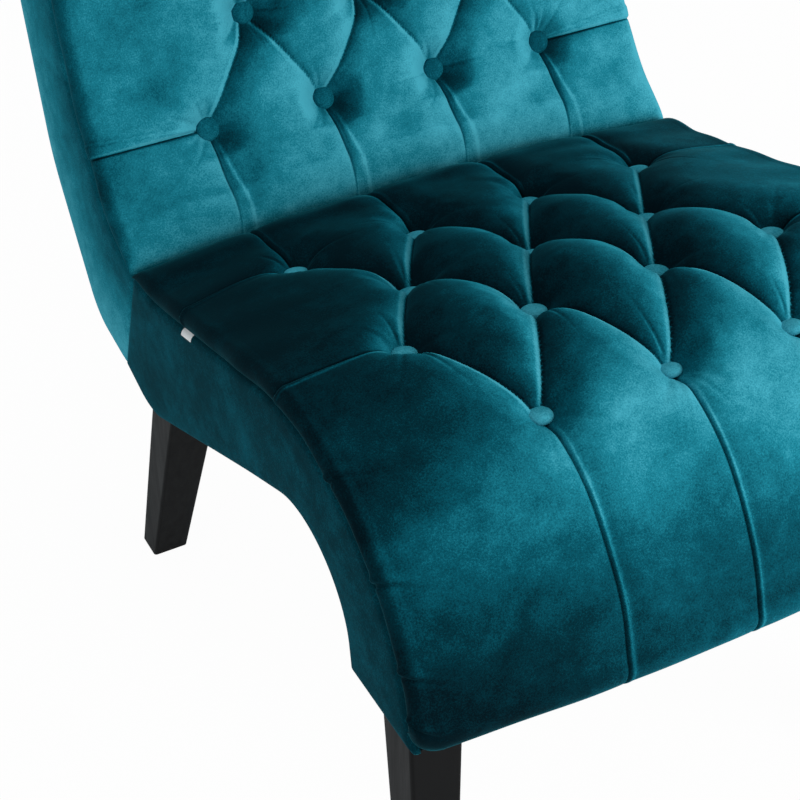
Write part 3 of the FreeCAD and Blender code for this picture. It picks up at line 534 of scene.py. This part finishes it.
def pad_mesh(name, line, outward, begin, end, swell_begin, swell_end, crowns, edge_height,
             spacing, corner, relief):
    """A closed pad on a side line: a rounded, tufted top and a flat base."""
    across_half, share_half, turn_half = half_section(edge_height, spacing)
    across_marks = np.concatenate([-across_half, across_half[-2::-1]])
    share = np.concatenate([share_half, share_half[-2::-1]])
    lean_out = np.concatenate([-np.cos(turn_half), np.cos(turn_half[-2::-1])])
    angle = np.linspace(math.radians(12), math.radians(90), end_steps)
    quarter = 1 - np.cos(angle)
    row_marks = [row[0][0] for row in button_rows()]
    along_marks = np.concatenate([
        begin + swell_begin * quarter[:-1],
        marks_between(begin + swell_begin, end - swell_end, spacing, row_marks),
        end - swell_end * quarter[::-1],
    ])
    ends = np.ones((len(along_marks), 1))
    ends[:end_steps - 1, 0] = np.sin(angle[:-1])
    ends[-end_steps:, 0] = np.sin(angle[::-1])
    along, across = np.meshgrid(along_marks, across_marks, indexing="ij")
    edges = np.broadcast_to(share, along.shape)
    sideways = np.broadcast_to(lean_out, along.shape)
    sunk, folds, painted_shine = relief(along, across)
    # The buttons' pull fades to a quarter at the pad's ends and to a half at its side seams.
    sunk = sunk * (0.25 + 0.75 * ends) * (0.5 + 0.5 * edges)
    drawn = sunk - folds * ends
    height = crowns(across) * edges * ends - drawn * np.sqrt(1 - sideways ** 2)
    height = np.maximum(height, least_height * edges)
    moved = across - sideways * np.minimum(drawn, most_drawn)
    # The far end's corners are round.
    past = np.clip(np.abs(across) - half_width + corner, 0, corner)
    near_end = np.clip((along - end + corner_run) / corner_run, 0, 1)
    drawn_in = (corner - np.sqrt(corner ** 2 - past ** 2)) * near_end ** 2
    points = on_line(line, outward, along - drawn_in, moved, height)
    index = np.arange(along.size).reshape(along.shape)
    faces = grid_faces(index).reshape(-1, 4).tolist()
    faces += [(index[j, -1], index[j, 0], index[j + 1, 0], index[j + 1, -1])
              for j in range(len(index) - 1)]
    faces += [index[0, ::-1].tolist(), index[-1].tolist()]
    return new_piece(name, points, faces), along.ravel(), across.ravel(), painted_shine.ravel()


# The buttons' rows lie at these heights over the base, from the crease outwards.
seat_floors = (0.014, 0.007, 0.006, 0.016)
back_floors = (0.018, 0.014, 0.014, 0.014)
seat_edge = 0.019
back_edge = 0.024
seat_crown = crown_of(seat_edge, 0.042)
back_crown = crown_of(back_edge, 0.046)
pad_begin = 0.0015
down_the_rear = 0.045
seat_end = seat_line[0][-1]
back_end = back_line[0][-1] - np.hypot(
    back_top_rear[0] - rear_corner[0], back_top_rear[1] - rear_corner[1]) + down_the_rear


def seat_relief(along, across):
    """The seat's tufting, and the small tucks at its seams."""
    shares = {"diagonal": 0.62, "straight": np.where(along > 0.3, 0.06, 0.34), "side": 0.22}
    reaches = {"diagonal": 0.048, "straight": 0.032, "side": 0.036, "dimple": 0.018}
    bands = {"diagonal": (0.0035, 0.0), "straight": (0.0026, 0.0015), "side": (0.003, 0.002)}
    sunk, folds, painted_shine = tufting(along, across, seat_end, seat_floors, seat_crown, shares, reaches,
                                 flap=0.0013, bands=bands, seed=3)
    # Small slanting tucks, each with a puff beside it, take up the cloth where the seam runs
    # round the nose.
    from_seam = half_width - np.abs(across)
    inside = np.exp(-np.maximum(from_seam - 0.004, 0) / 0.010)
    for tuck in (0.381, 0.454, 0.516, 0.558):
        slant = along - tuck - 0.35 * (from_seam - 0.010)
        folds -= 0.0026 * inside * np.exp(-(slant / 0.0016) ** 2)
        folds += 0.0018 * inside * np.exp(-((slant + 0.004) / 0.0028) ** 2)
    return sunk, folds, painted_shine


def back_relief(along, across):
    """The back's tufting, whose pleats widen towards the seams."""
    shares = {"diagonal": 0.34, "straight": 0.16, "side": 0.2}
    reaches = {"diagonal": 0.044, "straight": 0.034, "side": 0.030, "dimple": 0.032}
    bands = {"diagonal": (0.003, 0.0), "straight": (0.002, 0.011), "side": (0.002, 0.010)}
    return tufting(along, across, back_end, back_floors, back_crown, shares, reaches,
                   flap=0.0015, bands=bands, seed=8)


def leaning(piece, line, along):
    """How far every point of a piece leans to the right and along its side line."""
    values = np.zeros(3 * len(piece.data.vertices), np.float32)
    piece.data.vertex_normals.foreach_get("vector", values)
    facing = values.reshape(-1, 3)
    heading = np.interp(along, line[0], line[3])
    return facing[:, 0], facing[:, 1] * np.cos(heading) + facing[:, 2] * np.sin(heading)


seat_pad, seat_along, seat_across, seat_painted_shine = pad_mesh(
    "seat_tufted_velvet", seat_line, right_of_travel, pad_begin, seat_end,
    swell_begin=0.045, swell_end=0.026, crowns=seat_crown, edge_height=seat_edge,
    spacing=0.0015, corner=0.022, relief=seat_relief)
back_pad, back_along, back_across, back_painted_shine = pad_mesh(
    "back_tufted_velvet", back_line, left_of_travel, pad_begin, back_end,
    swell_begin=0.040, swell_end=0.020, crowns=back_crown, edge_height=back_edge,
    spacing=0.0017, corner=0.006, relief=back_relief)

# The seat is painted dark on top, with a painted highlight over the nose and painted shade
# down the front.
nose_begin = 0.36
# The painted light falls off towards the seat's left, where painted shade deepens over the nose.
leftness = np.clip((-seat_across - 0.05) / 0.2, 0, 1)
seat_painted_light = np.interp(seat_along - 0.030 * leftness,
                     (0.00, 0.10, 0.20, 0.30, nose_begin, 0.405, 0.44, 0.50, 0.545, 0.575),
                     (0.06, 0.13, 0.29, 0.38, 0.50, 0.88, 0.80, 0.44, 0.34, 0.62))
seat_painted_light -= leftness * np.interp(seat_along, (nose_begin, 0.42, 0.50), (0.18, 0.42, 0.28))
# Slopes that face right get a painted highlight, weaker over the nose, and those facing left
# painted shade.
lean_right = leaning(seat_pad, seat_line, seat_along)[0]
over_nose = np.clip((seat_along - nose_begin) / 0.03, 0, 1)
lean_gain = np.where(lean_right > 0, 0.60 - 0.45 * over_nose, 0.34)
seat_painted_light += lean_gain * np.tanh(1.8 * lean_right)
# The folds' painted highlights and shade are laid on, the highlights strongest on top.
seat_painted_light += np.where(seat_painted_shine > 0, 1.6 - 0.7 * over_nose, 1.0) * seat_painted_shine
lay_painted_light(seat_pad, np.clip(seat_painted_light, 0.0, 1.0))

# The back is painted bright, with painted highlights on its right-hand slopes and painted shade on
# those that look up, and the folds' painted highlights and shade on top.
lean_right, lean_along = leaning(back_pad, back_line, back_along)
back_painted_light = 0.77 + 0.40 * np.tanh(1.5 * lean_right) - 0.55 * np.clip(lean_along, -0.1, 0.8)
lay_painted_light(back_pad, np.clip(back_painted_light + back_painted_shine, 0.05, 1.0))

for piece, nodes in ((seat_pad, ("seat_tufted_pad", "seat_foam")),
                     (back_pad, ("back_tufted_pad", "back_foam"))):
    piece.data.materials.append(velvet)
    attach(piece, "root")
    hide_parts(*nodes)

# Covered buttons
# A domed metal shell wrapped in the same velvet, 22 mm across, tied down through the foam.
# Each is pulled a little off square, as hand-tied buttons are.
button_radius = 0.011
button_rim = 0.006
button_steps = ((0.0022, 0.0018), (0.0030, 0.0010), (0.0030, 0.0004))
off_square = 0.12


def covered_button():
    """One button on the origin: a disc whose face steps inwards and up, then is rounded."""
    bpy.ops.object.select_all(action="DESELECT")
    bpy.ops.mesh.primitive_cylinder_add(vertices=32, radius=button_radius, depth=button_rim,
                                        location=(0, 0, button_rim / 2))
    button = bpy.context.object
    bpy.ops.object.transform_apply(location=True)
    bpy.ops.object.mode_set(mode="EDIT")
    shell = bmesh.from_edit_mesh(button.data)
    for face in shell.faces:
        face.select_set(face.normal.z > 0.9)
    bmesh.update_edit_mesh(button.data)
    for inwards, up in button_steps:
        bpy.ops.mesh.inset(thickness=inwards)
        bpy.ops.transform.translate(value=(0, 0, up))
    bpy.ops.object.mode_set(mode="OBJECT")
    rounding = button.modifiers.new("rounding", "SUBSURF")
    rounding.levels = 2
    rounding.render_levels = 2
    bpy.ops.object.modifier_apply(modifier="rounding")
    bpy.ops.object.shade_smooth()
    return button


def button_group(name, line, outward, floors, sunk, tilts, seed):
    """Copies of the button on every place of a pad, joined as one piece."""
    chance = np.random.default_rng(seed)
    pattern = covered_button()
    copies = []
    for number, row in enumerate(button_rows()):
        for along, across in row:
            copy = pattern.copy()
            copy.data = pattern.data.copy()
            bpy.context.scene.collection.objects.link(copy)
            heights = np.array((floors[number] - sunk[number], floors[number] + 0.01))
            foot, head = on_line(line, outward, np.full(2, along), np.full(2, across), heights)
            up = Vector(head) - Vector(foot)
            tip = Vector(chance.uniform(-off_square, off_square, 3)) + Vector((0, tilts[number], 0))
            turned = (up.normalized() + tip).to_track_quat("Z", "Y").to_matrix().to_4x4()
            copy.data.transform(Matrix.Translation(Vector(foot)) @ turned)
            copies.append(copy)
    bpy.data.objects.remove(pattern)
    bpy.ops.object.select_all(action="DESELECT")
    for copy in copies:
        copy.select_set(True)
    bpy.context.view_layer.objects.active = copies[0]
    bpy.ops.object.join()
    group = bpy.context.object
    group.name = name
    group.data.materials.append(velvet)
    return group


# The seat's buttons tip a little to the rear, and those of the front row more.
for name, line, outward, floors, sunk, tilts, painted_brightness, seed in (
    ("seat", seat_line, right_of_travel, seat_floors, (0.001, 0.0005, 0.0, 0.002),
     (0.1, 0.1, 0.1, 0.6), 0.92, 4),
    ("back", back_line, left_of_travel, back_floors, (0.001,) * 4, (0.0,) * 4, 0.5, 9),
):
    group = button_group(name + "_covered_buttons", line, outward, floors, sunk, tilts, seed)
    # Each group gets one level of painted light: the seat's buttons a bright one, the back's a
    # darker one.
    lay_painted_light(group, painted_brightness)
    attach(group, "root")
    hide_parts(name + "_buttons")

# Side covers
# Flat velvet panels over thin wadding on the plywood sides, sewn to the pads along the top seam
# and turned in underneath. They swell a little between their edges.
belly = (0.0877, 0.234, 0.060)
heel = (0.1427, 0.252, 0.003)
lip_rear = (lip_front[0] + 0.095, 0.274, 0.004)
arch = stepped_to(lip_rear, 81.6, 0.397, 0.077)
rear_tuck = stepped_to(rear_corner, 57.0, 0.262, 0.050)
under_line = side_line([heel, belly, arch, lip_rear])
back_front_line = side_line([crease, back_foot, back_hollow, back_top_front])
back_rear_line = side_line([heel, rear_tuck, rear_corner, back_top_rear])
edge_turn = 0.007
turned_depth = 0.0065
turned_height = 0.0055
panel_inside = 0.0078
panel_swell_reach = 0.03
panel_end_margin = 0.002


def cloth_shell(name, outer, inner, kept=None):
    """A closed piece between two grids of points, open where a cell of the grid isn't kept."""
    rows, columns = outer.shape[:2]
    kept = np.ones((rows - 1, columns - 1), bool) if kept is None else kept
    quads = grid_faces(np.arange(rows * columns).reshape(rows, columns))[kept]
    shift = rows * columns
    faces = quads.tolist() + (quads[:, ::-1] + shift).tolist()
    edges = [(face[i], face[(i + 1) % 4]) for face in quads.tolist() for i in range(4)]
    inside = set(edges)
    faces += [(b, a, a + shift, b + shift) for a, b in edges if (b, a) not in inside]
    return new_piece(name, np.concatenate([outer.reshape(-1, 3), inner.reshape(-1, 3)]), faces)


def close_at_ends(low, high, count):
    """Marks from low to high that lie close together near both ends."""
    margin = 0.02 * (high - low)
    curve = margin * np.linspace(0, 1, 6) ** 1.5
    return np.unique(np.concatenate([low + curve, np.linspace(low + margin, high - margin, count),
                                     high - curve]))


def turned_in(near):
    """How far cloth stands back near an edge that is turned in, as a share of its full place."""
    return np.sqrt(np.clip(1 - (1 - np.clip(near / edge_turn, 0, 1)) ** 2, 0, 1))


def side_panel(name, upper, lower, side, rows, columns, swell, painted_brightness):
    """A stuffed panel between two side-view lines, turned in along all its edges."""
    part = np.linspace(0, 1, rows)
    share = close_at_ends(0, 1, columns)[:, None]
    above = on_line(upper, 1, part * upper[0][-1], np.zeros(rows), np.zeros(rows))
    below = on_line(lower, 1, part * lower[0][-1], np.zeros(rows), np.zeros(rows))
    outer = above[None] + (below - above)[None] * share[:, :, None]
    gap = np.linalg.norm(below - above, axis=1)[None, :]
    from_ends = np.minimum(part, 1 - part)[None, :] * upper[0][-1] + panel_end_margin
    near = np.minimum(np.minimum(gap * share, gap * (1 - share)), from_ends)
    inner = outer.copy()
    outer[:, :, 0] = side * (half_width - turned_depth + turned_height * turned_in(near)
                             + swell * (1 - np.exp(-near / panel_swell_reach)))
    inner[:, :, 0] = side * (half_width - panel_inside)
    panel = cloth_shell(name, outer, inner)
    # The painted light runs from one level along the upper line to another along the lower.
    held = np.broadcast_to(share, near.shape).ravel()
    lay_painted_light(panel, np.tile(painted_brightness[0] + (painted_brightness[1] - painted_brightness[0]) * held, 2))
    panel.data.materials.append(velvet)
    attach(panel, "root")
    return panel


# The seat's sides are painted dark, and the back's sides painted brighter towards their rear edge.
for side_name, side in (("left", -1), ("right", 1)):
    seat_side = side_panel("seat_side_velvet_" + side_name, seat_line, under_line, side,
                           rows=220, columns=46, swell=0.0025, painted_brightness=(0.25, 0.32))
    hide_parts("seat_side_cover_" + side_name)
    back_side = side_panel("back_side_velvet_" + side_name, back_front_line, back_rear_line, side,
                           rows=200, columns=30, swell=0.003, painted_brightness=(0.46, 0.98))
    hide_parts("back_side_cover_" + side_name)

# Seam tab
# A blank white ribbon, woven of fine bright yarn. Its upper half is caught in the left seam of the
# seat, near the crease, and its lower half hangs out.
ribbon = new_material("white_woven_ribbon")
ribbon_place = add(ribbon, "TexCoord").outputs["Object"]
# The weave is too fine to show, so it is drawn about 0.7 mm wide.
ribbon_weave = add(ribbon, "TexNoise", {"Scale": 1500.0, "Detail": 2.0}, {"Vector": ribbon_place})
ribbon_colour = add(ribbon, "Mix", {mix_from: linear("#d9dcde"), mix_to: linear("#f6f8f9")},
                    {mix_factor: ribbon_weave.outputs["Fac"]}, data_type="RGBA")
ribbon_shader = add(ribbon, "BsdfPrincipled", {"Roughness": 0.7, "Specular IOR Level": 0.2},
                    {"Base Color": ribbon_colour.outputs[mix_out]})
add(ribbon, "OutputMaterial", links={"Surface": ribbon_shader.outputs[0]})
tab_begin, tab_end = 0.107, 0.127
tab_top, tab_foot = 0.0055, -0.0050
tab_depth = 0.0057
tab_thickness = 0.0006
tab_along, tab_height = np.meshgrid(np.linspace(tab_begin, tab_end, 21),
                                    np.linspace(tab_top, tab_foot, 14), indexing="ij")
tab_out = half_width - tab_depth + turned_height * turned_in(np.maximum(-tab_height, 0))
tab = cloth_shell(
    "blank_seam_tab",
    on_line(seat_line, right_of_travel, tab_along, -tab_out - tab_thickness, tab_height),
    on_line(seat_line, right_of_travel, tab_along, -tab_out, tab_height))
tab.data.materials.append(ribbon)
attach(tab, "root")
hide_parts("seam_tab")

# Outside back
# One velvet panel over wadding, stretched over the rear of the back from the rolled top down to
# the heel and slip-stitched to the side covers.
rear_line = side_line([back_top_rear, rear_corner, rear_tuck, heel])
rear_begin = 0.0456
rear_end = rear_line[0][-1]
cover_half = 0.2572
rear_swell = 0.003
rear_swell_reach = 0.05
rear_inside = 0.0055
rear_along, rear_across = np.meshgrid(close_at_ends(rear_begin, rear_end, 150),
                                      close_at_ends(-cover_half, cover_half, 120), indexing="ij")
rear_near = np.minimum(cover_half - np.abs(rear_across),
                       np.minimum(rear_along - rear_begin, rear_end - rear_along))
rear_height = rear_swell * (turned_in(rear_near) - np.exp(-rear_near / rear_swell_reach))
rear_velvet = cloth_shell(
    "back_outside_velvet",
    on_line(rear_line, left_of_travel, rear_along, rear_across, rear_height),
    on_line(rear_line, left_of_travel, rear_along, rear_across,
            np.full_like(rear_along, -rear_inside)))
# The outside back gets one even, middle level of painted light.
lay_painted_light(rear_velvet, 0.5)
rear_velvet.data.materials.append(velvet)
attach(rear_velvet, "root")
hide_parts("back_rear_cover")

# Dust cover
# Black non-woven lining stapled to the rails under the seat, cut out around the four legs. It is
# quite dull, a felt of fine fibres.
lining = new_material("black_nonwoven_lining")
lining_place = add(lining, "TexCoord").outputs["Object"]
# The fibres are too fine to show, so they are drawn as flecks of about 1.4 mm.
lining_fibres = add(lining, "TexNoise", {"Scale": 700.0, "Detail": 3.0}, {"Vector": lining_place})
lining_colour = add(lining, "Mix", {mix_from: linear("#101113"), mix_to: linear("#26282b")},
                    {mix_factor: lining_fibres.outputs["Fac"]}, data_type="RGBA")
lining_shader = add(lining, "BsdfPrincipled", {"Roughness": 0.9, "Specular IOR Level": 0.1},
                    {"Base Color": lining_colour.outputs[mix_out]})
add(lining, "OutputMaterial", links={"Surface": lining_shader.outputs[0]})
dust_line = side_line([(lip_front[0] + 0.0015, 0.274, 0.0), lip_rear, arch, belly, heel])
dust_edge = 0.0005
dust_heel_gap = 0.006
dust_top, dust_foot = -0.0012, -0.0002
leg_reach_across = (0.2080, 0.2540)
leg_reaches_along = ((-0.3640, -0.3170), (0.0610, 0.1150))
dust_marks = np.linspace(0.0, dust_line[0][-1] - dust_heel_gap, 180)
for reach in leg_reaches_along:
    dust_marks = np.append(dust_marks, np.interp(reach, dust_line[1], dust_line[0]))
dust_across = np.linspace(-cover_half + dust_edge, cover_half - dust_edge, 60)
dust_across = np.concatenate([dust_across, leg_reach_across, np.negative(leg_reach_across)])
dust_marks, dust_across = np.sort(dust_marks), np.sort(dust_across)
cell_y = np.interp((dust_marks[1:] + dust_marks[:-1]) / 2, dust_line[0], dust_line[1])[:, None]
cell_x = np.abs((dust_across[1:] + dust_across[:-1]) / 2)[None, :]
over_leg = np.zeros((len(dust_marks) - 1, len(dust_across) - 1), bool)
for low, high in leg_reaches_along:
    over_leg |= ((cell_y > low) & (cell_y < high)
                 & (cell_x > leg_reach_across[0]) & (cell_x < leg_reach_across[1]))
dust_along, dust_wide = np.meshgrid(dust_marks, dust_across, indexing="ij")
dust_faces = [on_line(dust_line, right_of_travel, dust_along, dust_wide,
                      np.full_like(dust_along, height)) for height in (dust_foot, dust_top)]
dust_cloth = cloth_shell("under_seat_lining", *dust_faces, ~over_leg)
dust_cloth.data.materials.append(lining)
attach(dust_cloth, "root")
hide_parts("dust_cover")

# Legs
# Tapered beech legs, bolted up into the rails. Their near-black lacquer has a soft gloss, and the
# grain of the wood shows through it only as faint streaks.
leg_lacquer = new_material("black_lacquered_beech")
leg_grain_width = 0.00625
leg_place = add(leg_lacquer, "TexCoord").outputs["Object"]
leg_stretch = add(leg_lacquer, "Mapping", {"Scale": (1.0, 1.0, 0.08)}, {"Vector": leg_place})
leg_grain = add(leg_lacquer, "TexNoise",
                {"Scale": 1 / leg_grain_width, "Detail": 5.0, "Roughness": 0.6},
                {"Vector": leg_stretch.outputs[0]}).outputs["Fac"]
leg_colour = add(leg_lacquer, "Mix", {mix_from: linear("#010101"), mix_to: linear("#040405")},
                 {mix_factor: leg_grain}, data_type="RGBA")
leg_bump = add(leg_lacquer, "Bump", {"Strength": 0.3, "Distance": 0.0003}, {"Height": leg_grain})
leg_rough = add(leg_lacquer, "MapRange",
                {"From Min": 0.3, "From Max": 0.7, "To Min": 0.38, "To Max": 0.5},
                {"Value": leg_grain})
leg_shader = add(leg_lacquer, "BsdfPrincipled", {"Specular IOR Level": 0.12},
                 {"Base Color": leg_colour.outputs[mix_out], "Roughness": leg_rough.outputs[0],
                  "Normal": leg_bump.outputs["Normal"]})
add(leg_lacquer, "OutputMaterial", links={"Surface": leg_shader.outputs[0]})
finish_nodes(leg_lacquer, "front_leg_left", "front_leg_right", "rear_leg_left", "rear_leg_right")

# Floor glides
# Black nylon discs moulded with a pin, one knocked into the foot of each leg. The mould leaves
# them satin, with a fine unevenness.
nylon = new_material("black_moulded_nylon")
nylon_place = add(nylon, "TexCoord").outputs["Object"]
# The mould's grain is about 1.1 mm.
nylon_grain = add(nylon, "TexNoise", {"Scale": 900.0, "Detail": 2.0}, {"Vector": nylon_place})
nylon_rough = add(nylon, "MapRange",
                  {"From Min": 0.3, "From Max": 0.7, "To Min": 0.45, "To Max": 0.6},
                  {"Value": nylon_grain.outputs["Fac"]})
nylon_shader = add(nylon, "BsdfPrincipled",
                   {"Base Color": linear("#141415"), "Specular IOR Level": 0.35},
                   {"Roughness": nylon_rough.outputs[0]})
add(nylon, "OutputMaterial", links={"Surface": nylon_shader.outputs[0]})
finish_nodes(nylon, "floor_glides")
